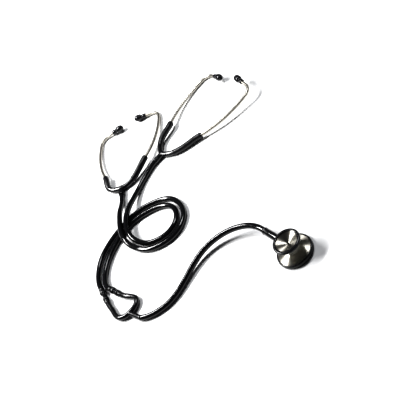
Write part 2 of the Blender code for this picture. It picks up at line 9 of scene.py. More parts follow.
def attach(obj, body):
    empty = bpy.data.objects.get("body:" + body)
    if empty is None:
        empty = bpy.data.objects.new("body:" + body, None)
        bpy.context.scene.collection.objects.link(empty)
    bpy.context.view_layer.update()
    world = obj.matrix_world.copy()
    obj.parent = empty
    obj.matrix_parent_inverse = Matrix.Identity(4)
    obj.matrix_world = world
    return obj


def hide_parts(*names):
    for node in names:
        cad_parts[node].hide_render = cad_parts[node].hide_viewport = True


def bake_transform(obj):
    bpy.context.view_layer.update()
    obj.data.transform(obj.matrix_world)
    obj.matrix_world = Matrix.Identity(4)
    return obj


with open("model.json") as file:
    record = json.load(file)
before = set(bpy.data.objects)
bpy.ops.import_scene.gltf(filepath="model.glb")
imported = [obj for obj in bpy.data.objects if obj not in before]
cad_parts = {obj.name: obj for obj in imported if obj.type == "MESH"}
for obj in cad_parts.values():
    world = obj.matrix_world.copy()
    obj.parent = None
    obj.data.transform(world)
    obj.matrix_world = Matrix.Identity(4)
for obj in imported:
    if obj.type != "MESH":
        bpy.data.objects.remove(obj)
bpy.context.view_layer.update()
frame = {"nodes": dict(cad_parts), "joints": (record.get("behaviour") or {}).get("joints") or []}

# ---------------------------------------------------------------------------------------- camera
# The stethoscope is seen through a long lens from 1.25 m away, 40 degrees above the table, with
# the camera rolled so that the headsets lie at the upper left.

MM = 0.001
TABLE_CENTRE = Vector((-11.0, 25.4, 0.0))  # same point as in the CAD model, in millimetres
LENS = 81.0
SENSOR = 36.0
LOOK_DOWN = math.radians(40)
ROLL = math.radians(44.5)
CAMERA_AWAY = 1.25

lens = bpy.data.cameras.new("camera")
lens.lens = LENS
lens.sensor_width = SENSOR
camera = bpy.data.objects.new("camera", lens)
bpy.context.scene.collection.objects.link(camera)
level = Vector((1, 0, 0))
backwards = Vector((0, -math.cos(LOOK_DOWN), math.sin(LOOK_DOWN)))
above = backwards.cross(level)
image_right = level * math.cos(ROLL) - above * math.sin(ROLL)
image_up = level * math.sin(ROLL) + above * math.cos(ROLL)
turn = Matrix((image_right, image_up, backwards)).transposed().to_4x4()
camera.matrix_world = Matrix.Translation(-TABLE_CENTRE * MM + backwards * CAMERA_AWAY) @ turn
bpy.context.scene.camera = camera

# ------------------------------------------------------------------------------ table and studio
# White paper in a dark studio: a long strip softbox gives the crisp lines on the black hoses, and a
# small one overhead fills the shadows. What the camera sees past the paper is white too.

LIGHT_AWAY = 1.5
FLOOR_HALF_WIDTH = 3.0

scene = bpy.context.scene
scene.view_settings.view_transform = "Standard"
scene.view_settings.look = "High Contrast"
scene.world = bpy.data.worlds.new("studio")
scene.world.use_nodes = True
world_nodes = scene.world.node_tree.nodes
world_link = scene.world.node_tree.links.new
dark_room = world_nodes["Background"]
dark_room.inputs["Color"].default_value = (0.93, 0.96, 1.0, 1)
dark_room.inputs["Strength"].default_value = 0.05
white_wall = world_nodes.new("ShaderNodeBackground")
seen_directly = world_nodes.new("ShaderNodeLightPath")
either = world_nodes.new("ShaderNodeMixShader")
world_link(seen_directly.outputs["Is Camera Ray"], either.inputs["Fac"])
world_link(dark_room.outputs[0], either.inputs[1])
world_link(white_wall.outputs[0], either.inputs[2])
world_link(either.outputs[0], world_nodes["World Output"].inputs["Surface"])


def softbox(name, direction, across, width, length, watts, colour=(1, 1, 1)):
    """A rectangular light that faces the object; its width runs along the across direction."""
    data = bpy.data.lights.new(name, "AREA")
    data.shape = "RECTANGLE"
    data.size = width
    data.size_y = length
    data.energy = watts
    data.color = colour
    light = bpy.data.objects.new(name, data)
    scene.collection.objects.link(light)
    z = Vector(direction).normalized()
    x = (Vector(across) - z * Vector(across).dot(z)).normalized()
    facing = Matrix((x, z.cross(x), z)).transposed().to_4x4()
    light.matrix_world = Matrix.Translation(z * LIGHT_AWAY) @ facing


softbox("key_strip", (-0.46, 0.44, 0.79), (0.547, -0.837, 0), width=0.2, length=1.0, watts=34)
softbox("top_fill", (0.35, 0.23, 0.91), (0.837, 0.547, 0), width=0.32, length=0.32, watts=8,
        colour=(0.97, 0.98, 1.0))

floor_mesh = bpy.data.meshes.new("paper_floor")
bm = bmesh.new()
bmesh.ops.create_grid(bm, x_segments=1, y_segments=1, size=FLOOR_HALF_WIDTH)
bm.to_mesh(floor_mesh)
bm.free()
paper_floor = bpy.data.objects.new("paper_floor", floor_mesh)
scene.collection.objects.link(paper_floor)
paper = bpy.data.materials.new("white_paper")
paper.use_nodes = True
paper_shader = paper.node_tree.nodes["Principled BSDF"]
paper_shader.inputs["Base Color"].default_value = (0.9, 0.9, 0.9, 1)
paper_shader.inputs["Roughness"].default_value = 0.8
paper_shader.inputs["Specular IOR Level"].default_value = 0.1
floor_mesh.materials.append(paper)

# ----------------------------------------------------------------------------------------- hoses
# Three lengths of glossy black extruded vinyl tube, 8 mm outside, pushed over barbed fittings.
# They lie in one loose double loop, and cross over themselves in a long low hump.

HOSE_RADIUS = 4.0
HOSE_BORE = 2.1
HOSE_SIDES = 36
HOSE_STEP = 2.5
BARB_LENGTH = 11.0

LEFT_HOSE = [(-78.45, 129.3, 4.8), (-84, 118, 5.0), (-89.5, 107, 7.4), (-96, 95, 11), (-103, 80, 12.8),
             (-109, 67, 13), (-113, 55, 13), (-115, 43, 12.8), (-115.3, 33, 11.4), (-113.5, 22.5, 8.4),
             (-109, 12.5, 5.3), (-102.5, 2, 4), (-92, -8.5, 4), (-77, -16.5, 4), (-61, -19.5, 4),
             (-45, -16, 4), (-31, -4, 4), (-24.5, 12, 4), (-24, 27, 4), (-28, 42, 4), (-37, 54, 4),
             (-50.5, 64, 4), (-66, 71.5, 4), (-82, 74.8, 4), (-98, 75.5, 4), (-117, 73, 4),
             (-135, 68, 4), (-152, 60, 4), (-166, 48.5, 4), (-177, 33, 4), (-183.2, 17, 4.7),
             (-185.2, 2.6, 5)]
RIGHT_HOSE = [(-6.7, 131, 4.8), (-14, 129.8, 4.6), (-26, 125.5, 4.2), (-40, 119, 4.2),
              (-54, 110.5, 5), (-67, 100.5, 7.5),
              (-78, 90, 10.8), (-87, 80.5, 12.7), (-94.5, 71.5, 13), (-100.5, 60.5, 13),
              (-104.3, 49, 13), (-105.6, 38, 12.4), (-104.6, 27.5, 10.2), (-101, 17.5, 7.2),
              (-94.8, 8.5, 4.7), (-85.5, 1, 4), (-73, -5.2, 4), (-60, -6.8, 4), (-48, -2.8, 4),
              (-39, 6, 4), (-34.4, 18, 4), (-35.5, 31, 4), (-42.5, 42.5, 4), (-54, 51.8, 4),
              (-68, 58.8, 4), (-82, 63.4, 4), (-96, 64.8, 4), (-109, 63.4, 4), (-121, 59.8, 4),
              (-134, 53.8, 4), (-147, 45.8, 4), (-159, 35.8, 4), (-168.5, 24, 4), (-174.3, 11.5, 4.2),
              (-175.9, -0.2, 4.8), (-173.5, -9.3, 5)]
SINGLE_HOSE = [(-162.6, -92.3, 4.3), (-157.2, -97.1, 4.2), (-149.6, -101.6, 4),
               (-139.5, -105.6, 4), (-122.5, -108.6, 4), (-104.5, -106.2, 4.2),
               (-85.5, -99.6, 5), (-67.5, -92.8, 6.4), (-51, -88.8, 8), (-36, -88.6, 9.7),
               (-22, -91.4, 11.3), (-9.5, -96.4, 12.9), (2.5, -103.6, 14.3), (13.5, -113, 15.3),
               (21.5, -122.4, 15.6), (26.5, -131, 15), (29.2, -138, 14.1), (30.78, -147.06, 13.5)]


def on_table(stops):
    """Stops along a line, moved to the table's centre; still in millimetres."""
    return [Vector(stop) - TABLE_CENTRE for stop in stops]


def smooth_line(stops, spacing):
    """Evenly spaced points on a smooth (Catmull-Rom) curve through the stops."""
    ends = [2 * stops[0] - stops[1]] + stops + [2 * stops[-1] - stops[-2]]
    dense = []
    for before, start, end, after in zip(ends, ends[1:], ends[2:], ends[3:]):
        for step in range(24):
            t = step / 24
            dense.append(0.5 * (2 * start + (end - before) * t
                                + (2 * before - 5 * start + 4 * end - after) * t ** 2
                                + (3 * start - before - 3 * end + after) * t ** 3))
    dense.append(stops[-1].copy())
    length = line_length(dense)
    return part_of_line(dense, 0, length, max(2, round(length / spacing)))


def part_of_line(points, start, end, count):
    """The piece of a line between two distances along it, as count equal steps."""
    marks = [start + (end - start) * step / count for step in range(count + 1)]
    result, travelled = [], 0.0
    for index, (a, b) in enumerate(zip(points, points[1:])):
        piece = (b - a).length
        last = index == len(points) - 2
        while marks and (marks[0] <= travelled + piece or last):
            result.append(a.lerp(b, (marks.pop(0) - travelled) / piece))
        travelled += piece
    return result


def line_length(points):
    return sum((b - a).length for a, b in zip(points, points[1:]))


def frames_along(points):
    """A frame at each point of a line, Z along it, without any needless twist."""
    before, after = points[:1] + points[:-1], points[1:] + points[-1:]
    tangents = [(b - a).normalized() for a, b in zip(before, after)]
    facing = tangents[0].to_track_quat("Z", "Y")
    frames = []
    for index, (point, tangent) in enumerate(zip(points, tangents)):
        if index:
            facing = tangents[index - 1].rotation_difference(tangent) @ facing
        frames.append(Matrix.Translation(point) @ facing.to_matrix().to_4x4())
    return frames


def bridge(bm, rings):
    """Join each ring of vertices to the next with a band of faces."""
    for low, high in zip(rings, rings[1:]):
        edges = [edge for ring in (low, high) for vert in ring for edge in vert.link_edges
                 if edge.verts[0] in ring and edge.verts[1] in ring]
        bmesh.ops.bridge_loops(bm, edges=list(set(edges)))


def bent(points, walk, sides, hollow=False):
    """A round piece along a bent line. walk lists (distance along it, radius) of each ring in
    turn; a hollow piece's walk comes back along the bore, and its last ring joins the first.
    The made_at layer holds where each vertex was before bending, for the materials."""
    bm = bmesh.new()
    made_at = bm.verts.layers.float_vector.new("made_at")
    frames = frames_along(points)
    marks = [0.0]
    for a, b in zip(points, points[1:]):
        marks.append(marks[-1] + (b - a).length)
    rings = []
    for index, (distance, radius) in enumerate(walk):
        after = next((i for i, mark in enumerate(marks) if mark >= distance), len(marks) - 1)
        after = max(after, 1)
        share = (distance - marks[after - 1]) / (marks[after] - marks[after - 1])
        facing = frames[after - 1].to_quaternion().slerp(frames[after].to_quaternion(), share)
        centre = points[after - 1] + (points[after] - points[after - 1]) * share
        cap = not hollow and index in (0, len(walk) - 1)
        place = Matrix.Translation(centre) @ facing.to_matrix().to_4x4()
        ring = bmesh.ops.create_circle(bm, cap_ends=cap, segments=sides, radius=radius, matrix=place)
        for vert in ring["verts"]:
            flat = place.inverted() @ vert.co
            vert[made_at] = Vector((flat.x, flat.y, distance)) * MM
        rings.append(ring["verts"])
    bridge(bm, rings + rings[:1] if hollow else rings)
    return bm


def even(start, end, spacing):
    """Evenly spaced distances from start to end, both included."""
    count = max(1, round(abs(end - start) / spacing))
    return [start + (end - start) * step / count for step in range(count + 1)]


def make_piece(name, bm, materials, body, replaced=(), sharp=35):
    """Turn a bmesh in millimetres into a finished piece that rides on a body."""
    bmesh.ops.remove_doubles(bm, verts=bm.verts, dist=0.0005)
    bmesh.ops.dissolve_degenerate(bm, edges=bm.edges, dist=0.0001)
    bmesh.ops.recalc_face_normals(bm, faces=bm.faces)
    bm.transform(Matrix.Scale(MM, 4))
    mesh = bpy.data.meshes.new(name)
    bm.to_mesh(mesh)
    bm.free()
    mesh.shade_smooth()
    mesh.set_sharp_from_angle(angle=math.radians(sharp))
    for material in materials:
        mesh.materials.append(material)
    piece = bpy.data.objects.new(name, mesh)
    scene.collection.objects.link(piece)
    if body:
        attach(piece, body)
    if replaced:
        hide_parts(*replaced)
    return piece


def effect(name, inputs, outputs):
    """An empty node group with its sockets; returns it with its input and output nodes."""
    group = bpy.data.node_groups.new(name, "ShaderNodeTree")
    for label, kind, value in inputs:
        socket = group.interface.new_socket(label, in_out="INPUT", socket_type=kind)
        if value is not None:
            socket.default_value = value
    for label, kind in outputs:
        group.interface.new_socket(label, in_out="OUTPUT", socket_type=kind)
    return group, group.nodes.new("NodeGroupInput"), group.nodes.new("NodeGroupOutput")


def fine_grain_effect():
    """Height of a fine grain; Stretch makes it finer or coarser along each axis."""
    group, given, result = effect(
        "fine_grain",
        [("Position", "NodeSocketVector", None), ("Stretch", "NodeSocketVector", (1, 1, 1)),
         ("Scale", "NodeSocketFloat", 2000.0)],
        [("Height", "NodeSocketFloat")])
    stretch = group.nodes.new("ShaderNodeVectorMath")
    stretch.operation = "MULTIPLY"
    noise = group.nodes.new("ShaderNodeTexNoise")
    noise.inputs["Detail"].default_value = 4
    noise.inputs["Roughness"].default_value = 0.6
    group.links.new(given.outputs["Position"], stretch.inputs[0])
    group.links.new(given.outputs["Stretch"], stretch.inputs[1])
    group.links.new(stretch.outputs[0], noise.inputs["Vector"])
    group.links.new(given.outputs["Scale"], noise.inputs["Scale"])
    group.links.new(noise.outputs["Fac"], result.inputs["Height"])
    return group


def handling_effect():
    """Values that drift between Clean and Touched, in patches like finger marks."""
    group, given, result = effect(
        "handling_marks",
        [("Position", "NodeSocketVector", None), ("Scale", "NodeSocketFloat", 90.0),
         ("Clean", "NodeSocketFloat", 0.2), ("Touched", "NodeSocketFloat", 0.3)],
        [("Value", "NodeSocketFloat")])
    broad = group.nodes.new("ShaderNodeTexNoise")
    broad.inputs["Detail"].default_value = 5
    broad.inputs["Roughness"].default_value = 0.62
    broad.inputs["Distortion"].default_value = 0.5
    level = group.nodes.new("ShaderNodeMapRange")
    level.inputs["From Min"].default_value = 0.4
    level.inputs["From Max"].default_value = 0.68
    group.links.new(given.outputs["Position"], broad.inputs["Vector"])
    group.links.new(given.outputs["Scale"], broad.inputs["Scale"])
    group.links.new(broad.outputs["Fac"], level.inputs["Value"])
    group.links.new(given.outputs["Clean"], level.inputs["To Min"])
    group.links.new(given.outputs["Touched"], level.inputs["To Max"])
    group.links.new(level.outputs["Result"], result.inputs["Value"])
    return group


FINE_GRAIN = fine_grain_effect()
HANDLING = handling_effect()


def new_finish(name, colour, roughness, **sockets):
    """A material with its shader's plain sockets set; returns the material and its shader."""
    material = bpy.data.materials.new(name)
    material.use_nodes = True
    material.diffuse_color = (*colour, 1)
    shader = material.node_tree.nodes["Principled BSDF"]
    shader.inputs["Base Color"].default_value = (*colour, 1)
    shader.inputs["Roughness"].default_value = roughness
    for label, value in sockets.items():
        shader.inputs[label.replace("_", " ")].default_value = value
    return material, shader


def use_effect(material, group, position, **values):
    """Place an effect in a material, with its own values."""
    node = material.node_tree.nodes.new("ShaderNodeGroup")
    node.node_tree = group
    material.node_tree.links.new(position, node.inputs["Position"])
    for label, value in values.items():
        node.inputs[label].default_value = value
    return node


def made_at(material):
    """Where a vertex was before the piece was bent or placed, as a texture position."""
    node = material.node_tree.nodes.new("ShaderNodeAttribute")
    node.attribute_name = "made_at"
    return node.outputs["Vector"]


def object_position(material):
    return material.node_tree.nodes.new("ShaderNodeTexCoord").outputs["Object"]


def add_bump(material, shader, height, depth, normal=None):
    """Feed a height to the shader's normal; depth is in metres. Returns the normal."""
    bump = material.node_tree.nodes.new("ShaderNodeBump")
    bump.inputs["Distance"].default_value = depth
    material.node_tree.links.new(height, bump.inputs["Height"])
    if normal:
        material.node_tree.links.new(normal, bump.inputs["Normal"])
    material.node_tree.links.new(bump.outputs["Normal"], shader.inputs["Normal"])
    return bump.outputs["Normal"]


def handled_finish(name, colour, roughness, handling, grains, position=made_at, **sockets):
    """A finish that finger marks make duller in patches, given as their scale and the roughness
    where it is clean and touched, over grains given as stretch, scale and depth in metres."""
    material, shader = new_finish(name, colour, roughness, **sockets)
    where = position(material)
    patch_scale, clean, touched = handling
    marks = use_effect(material, HANDLING, where, Scale=patch_scale, Clean=clean, Touched=touched)
    material.node_tree.links.new(marks.outputs["Value"], shader.inputs["Roughness"])
    normal = None
    for stretch, scale, depth in grains:
        grain = use_effect(material, FINE_GRAIN, where, Stretch=stretch, Scale=scale)
        normal = add_bump(material, shader, grain.outputs["Height"], depth, normal)
    return material


def hose(name, stops):
    points = smooth_line(on_table(stops), HOSE_STEP)
    whole = line_length(points)
    outside = [(0.0, 3.5), (0.15, 3.8), (0.5, HOSE_RADIUS)]
    outside += [(distance, HOSE_RADIUS) for distance in even(2.0, whole - 2.0, HOSE_STEP)]
    outside += [(whole - 0.5, HOSE_RADIUS), (whole - 0.15, 3.8), (whole, 3.5)]
    inside = [(distance, HOSE_BORE) for distance in even(whole, 0, 2 * HOSE_STEP)]
    tube = bent(points, outside + inside, HOSE_SIDES, hollow=True)
    piece = make_piece(name + "_tube", tube, [HOSE_VINYL], "frame", [name], sharp=60)


# Faint lines drawn along it by the extruder, and long low waves.
HOSE_VINYL = handled_finish(
    "hose_vinyl", (0.008, 0.008, 0.0092), 0.14, (70.0, 0.1, 0.19),
    [((1, 1, 0.012), 1500.0, 0.000012), ((1, 1, 0.6), 110.0, 0.00006)], Specular_IOR_Level=0.4)
hose("left_hose", LEFT_HOSE)
hose("right_hose", RIGHT_HOSE)
hose("single_hose", SINGLE_HOSE)

# ---------------------------------------------------------------------------------- headset yokes
# Each yoke is one flexible black moulding: a trunk that the hose pushes on to, and two roots that
# the arms continue. A leaf spring lies in a slot inside it, and holds the ear tubes together.

UP = Vector((0, 0, 1))
YOKE_RADIUS = 4.6
YOKE_ROOT_RADIUS = 4.2
ROOT_ENDS = 10.3           # from the junction to where an arm takes over
LEAF_SLOT = (1.2, 6.2)
VOXEL = 0.32
LINE_STEP = 0.8

HEADSETS = {
    "right": {
        "line": [(52, 170, 8), (43, 164.5, 8.8), (32.5, 161, 8.2), (22, 156.5, 6.8), (13, 147.5, 5.3),
                 (8, 132.5, 4.8), (19, 117, 5), (32, 108.5, 5.4), (45.5, 103.6, 5.8),
                 (58, 100, 6.4), (69, 95, 7)],
        "junction": (8, 132.5, 4.8),
        "trunk": [(8, 132.5, 4.8), (1, 132.3, 4.8), (-6.2, 131.1, 4.8)],
    },
    "left": {
        "line": [(-80, 186, 9), (-81.2, 179, 9.5), (-84.3, 171, 8.8), (-86.5, 161.5, 7),
                 (-82.5, 152, 5.3), (-72, 143, 4.8), (-58.5, 137.5, 5.2), (-47, 137.8, 6.6),
                 (-35, 140.6, 8.6), (-22.4, 145.2, 10.4), (-12, 151, 10)],
        "junction": (-72, 143, 4.8),
        "trunk": [(-72, 143, 4.8), (-75, 136.5, 4.8), (-78.2, 129.8, 4.8)],
    },
}


def distance_to(points, place):
    """How far along a line its nearest point to a place is."""
    nearest = min(range(len(points)), key=lambda i: (points[i] - place).length)
    return line_length(points[:nearest + 1])


def blank_object(bm):
    """A passing object made of a closed bmesh, with its faces pointing outwards."""
    bmesh.ops.recalc_face_normals(bm, faces=bm.faces)
    mesh = bpy.data.meshes.new("blank")
    bm.to_mesh(mesh)
    bm.free()
    blank = bpy.data.objects.new("blank", mesh)
    scene.collection.objects.link(blank)
    return blank


def shaped(blank, guides):
    """Join or cut an object with closed guides, given as (bmesh, operation), and return its shape
    as a bmesh that keeps its layers."""
    passing = [blank]
    for guide, operation in guides:
        passing.append(blank_object(guide))
        step = blank.modifiers.new("step", "BOOLEAN")
        step.operation = operation
        step.solver = "EXACT"
        step.object = passing[-1]
    evaluated = blank.evaluated_get(bpy.context.evaluated_depsgraph_get())
    bm = bmesh.new()
    bm.from_mesh(evaluated.to_mesh())
    evaluated.to_mesh_clear()
    for used in passing:
        bpy.data.objects.remove(used, do_unlink=True)
    return bm


def moulded(shells, smoothing, guides):
    """Melt overlapping closed shells into one moulding with soft inner corners, then cut it."""
    together = bpy.data.meshes.new("shells")
    for shell in shells:
        shell.from_mesh(together)
        shell.to_mesh(together)
        shell.free()
    melted = bpy.data.objects.new("shells", together)
    scene.collection.objects.link(melted)
    remesh = melted.modifiers.new("melt", "REMESH")
    remesh.mode = "VOXEL"
    remesh.voxel_size = VOXEL
    smooth = melted.modifiers.new("soften", "SMOOTH")
    smooth.factor = 0.5
    smooth.iterations = smoothing
    return shaped(melted, [(guide, "DIFFERENCE") for guide in guides])


def strip(points, thickness, width):
    """A flat strip on edge along a level line."""
    bm = bmesh.new()
    rings = []
    for index, place in enumerate(frames_along(points)):
        tangent = place.to_3x3() @ UP
        place = Matrix.Translation(points[index]) @ tangent.to_track_quat("Z", "Y").to_matrix().to_4x4()
        shape = Matrix.Diagonal((thickness, width, 1, 1)) @ Matrix.Rotation(math.radians(45), 4, "Z")
        cap = index in (0, len(points) - 1)
        ring = bmesh.ops.create_circle(bm, cap_ends=cap, segments=4, radius=math.sqrt(0.5),
                                       matrix=place @ shape)
        rings.append(ring["verts"])
    bridge(bm, rings)
    return bm


# A little less glossy than the hose, with a very fine grain and soft flow marks.
MOULDED_VINYL = handled_finish(
    "moulded_vinyl", (0.009, 0.009, 0.0102), 0.18, (120.0, 0.13, 0.24),
    [((1, 1, 1), 2600.0, 0.000012), ((1, 1, 1), 240.0, 0.00003)], object_position,
    Specular_IOR_Level=0.42)

headset_lines = {}
for side_name, plan in HEADSETS.items():
    line = smooth_line(on_table(plan["line"]), LINE_STEP)
    middle = distance_to(line, Vector(plan["junction"]) - TABLE_CENTRE)
    headset_lines[side_name] = (line, middle)
    saddle = part_of_line(line, middle - ROOT_ENDS, middle + ROOT_ENDS, 24)
    reach = line_length(saddle)
    roots = [(distance, YOKE_ROOT_RADIUS + 0.45 * math.exp(-((distance - reach / 2) / 4.5) ** 2))
             for distance in even(0, reach, LINE_STEP)]
    trunk = smooth_line(on_table(plan["trunk"]), LINE_STEP)
    foot = line_length(trunk)
    collar = [(0, YOKE_RADIUS - 0.4), (4, YOKE_RADIUS - 0.1), (foot - 3.4, YOKE_RADIUS),
              (foot - 3.0, YOKE_RADIUS + 0.25), (foot - 0.5, YOKE_RADIUS + 0.25), (foot, YOKE_RADIUS - 0.2)]
    shells = [bent(saddle, roots, 40), bent(trunk, collar, 40)]
    slot_line = part_of_line(line, middle - ROOT_ENDS - 2, middle + ROOT_ENDS + 2, 12)
    body = moulded(shells, 9, [strip(slot_line, *LEAF_SLOT)])
    make_piece(side_name + "_headset_yoke_moulding", body, [MOULDED_VINYL], "frame",
               [side_name + "_headset_yoke"], sharp=50)

# ------------------------------------------------------------------------------------------- arms
# A thick satin sleeve grips each ear tube and slips over the glossy root of the yoke. The root is
# what bends when the headset is opened.

ARM_ROOT_RADIUS = 4.05
ARM_RADIUS = 4.5
ARM_MOUTH_RADIUS = 4.75
ARM_BORE_RADIUS = 2.6
ROOT_TUCK = 0.8            # how far each arm's root reaches into its yoke
BEND = (1.2, 9.2)          # the part of an arm that bends, from its root
SLEEVE_BEGINS = 13.0


# Satin black with a fine leathery grain.
SATIN_SLEEVE = handled_finish(
    "satin_sleeve", (0.010, 0.010, 0.0112), 0.34, (140.0, 0.3, 0.42),
    [((1, 1, 0.7), 1900.0, 0.000035), ((1, 1, 0.4), 260.0, 0.00007)], Specular_IOR_Level=0.4)


def arm(headset, side):
    line, middle = headset_lines[headset]
    whole = line_length(line)
    start = ROOT_ENDS - ROOT_TUCK
    if side == "far":
        path = list(reversed(part_of_line(line, 0, middle - start, 60)))
    else:
        path = part_of_line(line, middle + start, whole, 60)
    reach = line_length(path)
    lip = SLEEVE_BEGINS
    root = [(0, YOKE_ROOT_RADIUS - 0.5), (0.35, YOKE_ROOT_RADIUS - 0.1)]
    root += [(distance, YOKE_ROOT_RADIUS + (ARM_ROOT_RADIUS - YOKE_ROOT_RADIUS) * distance / lip)
             for distance in even(0.8, lip, 0.9)]
    sleeve = [(lip + 0.05, ARM_RADIUS - 0.15), (lip + 0.25, ARM_RADIUS + 0.02),
              (lip + 0.6, ARM_RADIUS + 0.12), (lip + 1.6, ARM_RADIUS + 0.12), (lip + 2.0, ARM_RADIUS)]
    swell = reach - 3.4
    sleeve += [(distance, ARM_RADIUS + (ARM_MOUTH_RADIUS - ARM_RADIUS)
                * math.sin(math.pi / 2 * (distance - lip - 3) / (swell - lip - 3)))
               for distance in even(lip + 3, swell, 1.6)]
    dome = [(reach - 3.4 + 3.2 * math.sin(angle), 3.05 + (ARM_MOUTH_RADIUS - 3.05) * math.cos(angle))
            for angle in (math.radians(15 * step) for step in range(1, 7))]
    mouth = [(reach - 0.15, 2.8), (reach - 0.5, ARM_BORE_RADIUS), (reach - 13.2, ARM_BORE_RADIUS),
             (reach - 13.2, 0.6)]
    bm = bent(path, root + sleeve + dome + mouth, 40)
    layer = bm.verts.layers.float_vector["made_at"]
    for face in bm.faces:
        face.material_index = int(min(vert[layer].z for vert in face.verts) >= lip * MM)
    name = f"{headset}_headset_{side}_arm"
    piece = make_piece(name + "_sleeve", bm, [MOULDED_VINYL, SATIN_SLEEVE], None, [name])
    bend = part_of_line(path, *BEND, 1)
    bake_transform(piece)


for headset_name in HEADSETS:
    for arm_side in ("far", "near"):
        arm(headset_name, arm_side)

# -------------------------------------------------------------------------------------- ear tubes
# Thin brass tubes, bent to one shape and chrome plated. Each turns in its arm's mouth, and its
# tight bend points the ear tip forwards.

TUBE_RADIUS = 2.5
TUBE_WALL = 0.5
TUBE_INSERT = 12.0
TUBE_MAIN = (86.0, 33.0, 40)      # length, sweep in degrees, steps
TUBE_BEND = (22.0, 84.0, 30)
TUBE_END_LENGTH = 7.5

joints = {joint["name"]: joint for joint in frame["joints"]}


def joint_line(name):
    """A joint's place in millimetres, and its direction."""
    joint = joints[name]
    return Vector(joint["pos_m"]) / MM, Vector(joint["axis"]).normalized()


def ear_tube_line(mouth, ahead, outward):
    """The tube's centreline, from inside its arm to its end at the nozzle."""
    inner = (outward - ahead * outward.dot(ahead)).normalized()
    points = [mouth - ahead * TUBE_INSERT, mouth - ahead * 3, mouth.copy()]
    angle = 0.0
    for length, sweep, steps in (TUBE_MAIN, TUBE_BEND):
        turn_step = math.radians(sweep) / steps
        chord = 2 * (length / steps / turn_step) * math.sin(turn_step / 2)
        for _ in range(steps):
            angle += turn_step / 2
            points.append(points[-1] + chord * (ahead * math.cos(angle) + inner * math.sin(angle)))
            angle += turn_step / 2
    points.append(points[-1] + outward * TUBE_END_LENGTH)
    return points


# Satin chrome plate over drawn brass, with faint draw lines.
SATIN_CHROME = handled_finish(
    "satin_chrome", (0.47, 0.45, 0.405), 0.36, (160.0, 0.32, 0.42),
    [((1, 1, 0.02), 2400.0, 0.000008)], Metallic=1.0)
EAR_ENDS = {}


def ear_tube(headset, side):
    label = f"{headset}_headset_{side}"
    mouth, ahead = joint_line(label + "_ear_tube_twist")
    tip, outward = joint_line(label + "_ear_tip_turn")
    if ahead.dot(tip - mouth) < 0:
        ahead = -ahead
    points = ear_tube_line(mouth, ahead, outward)
    EAR_ENDS[label] = (points[-1], outward)
    whole = line_length(points)
    outside = [(0, TUBE_RADIUS - 0.2), (0.2, TUBE_RADIUS)]
    outside += [(distance, TUBE_RADIUS) for distance in even(1.5, whole - 0.6, 1.4)]
    outside += [(whole - 0.15, TUBE_RADIUS), (whole, TUBE_RADIUS - 0.15)]
    inside = [(distance, TUBE_RADIUS - TUBE_WALL) for distance in even(whole, 0, 2.0)]
    tube = bent(points, outside + inside, 28, hollow=True)
    make_piece(label + "_chromed_tube", tube, [SATIN_CHROME], label + "_ear_tube",
               [label + "_ear_tube"])


for headset_name in HEADSETS:
    for arm_side in ("far", "near"):
        ear_tube(headset_name, arm_side)

# ---------------------------------------------------------------------------- nozzles and ear tips
# A turned, chromed nozzle is screwed into the end of each tube. A soft silicone tip snaps over its
# spigot: a short collar, a waist and a mushroom with a sound hole.

ARC_STEPS = 5


def rounded(outline):
    """Turn corners given as (radius, height, fillet) into an outline with rounded corners."""
    corners = [(Vector((r, 0, h)), fillet) for r, h, fillet in outline]
    result = []
    for index, (corner, fillet) in enumerate(corners):
        before = corners[index - 1][0] - corner
        after = corners[(index + 1) % len(corners)][0] - corner
        reach = min(fillet, 0.48 * before.length, 0.48 * after.length)
        if reach < 0.01:
            result.append(corner)
            continue
        start, end = corner + before.normalized() * reach, corner + after.normalized() * reach
        for step in range(ARC_STEPS + 1):
            t = step / ARC_STEPS
            result.append(start * (1 - t) ** 2 + corner * 2 * t * (1 - t) + end * t ** 2)
    return result


def placed(origin, direction):
    """A frame whose Z runs along the direction, from the origin."""
    return Matrix.Translation(origin) @ Vector(direction).to_track_quat("Z", "Y").to_matrix().to_4x4()


def turned(outline, place, steps=96):
    """Spin a closed outline about the frame's Z. Beside made_at, the machined layer holds the
    direction in which the lathe's tool ran."""
    bm = bmesh.new()
    made = bm.verts.layers.float_vector.new("made_at")
    machined = bm.verts.layers.float_vector.new("machined")
    corners = [bm.verts.new(point) for point in outline]
    edges = [bm.edges.new(pair) for pair in zip(corners, corners[1:] + corners[:1])]
    bmesh.ops.spin(bm, geom=corners + edges, cent=(0, 0, 0), axis=(0, 0, 1),
                   angle=math.tau, steps=steps, use_merge=True)
    bmesh.ops.remove_doubles(bm, verts=bm.verts, dist=0.0005)
    bmesh.ops.dissolve_degenerate(bm, edges=bm.edges, dist=0.0001)
    for vert in bm.verts:
        vert[made] = vert.co * MM
        around = Vector((-vert.co.y, vert.co.x, 0))
        along = around.normalized() if around.length > 0.01 else Vector((1, 0, 0))
        vert[machined] = place.to_3x3() @ along
    bm.transform(place)
    return bm


